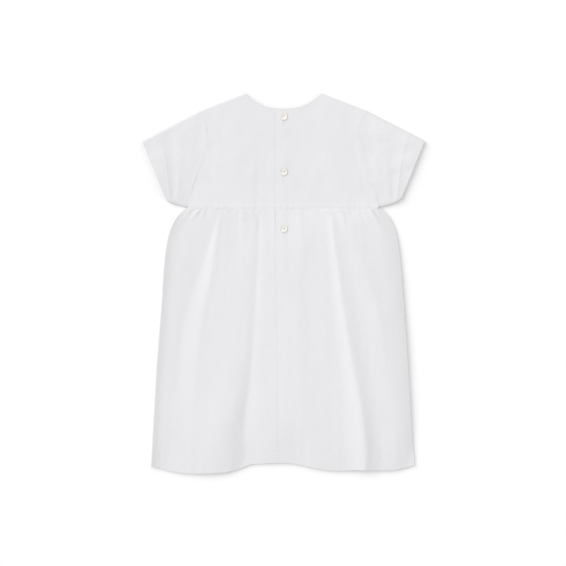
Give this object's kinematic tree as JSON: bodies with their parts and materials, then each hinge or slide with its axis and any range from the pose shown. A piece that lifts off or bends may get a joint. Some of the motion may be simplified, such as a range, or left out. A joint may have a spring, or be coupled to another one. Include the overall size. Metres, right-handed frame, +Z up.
{
  "type": "toddler dress",
  "caption": "Child's short-sleeved dress laid out flat with its back up: plain bodice, buttoned back opening, gathered skirt and turned hems.",
  "frame": {"origin": "centre of the footprint's box, on the surface that the dress lies on", "axes": "+X towards the right sleeve as seen from above, +Y towards the neck, +Z up from the surface, out of the dress's back"},
  "size_m": [0.3824, 0.5139, 0.0145],
  "materials": {
    "linen": "matt white plain-weave linen",
    "pearl": "polished mother-of-pearl"
  },
  "bodies": {
    "root": {"front_bodice": "linen", "back_bodice_left": "linen", "back_bodice_right": "linen", "front_skirt": "linen", "back_skirt_left": "linen", "back_skirt_right": "linen", "sleeve_left": "linen", "sleeve_right": "linen", "button_upper": "pearl", "button_middle": "pearl", "button_lower": "pearl"}
  },
  "joints": []
}
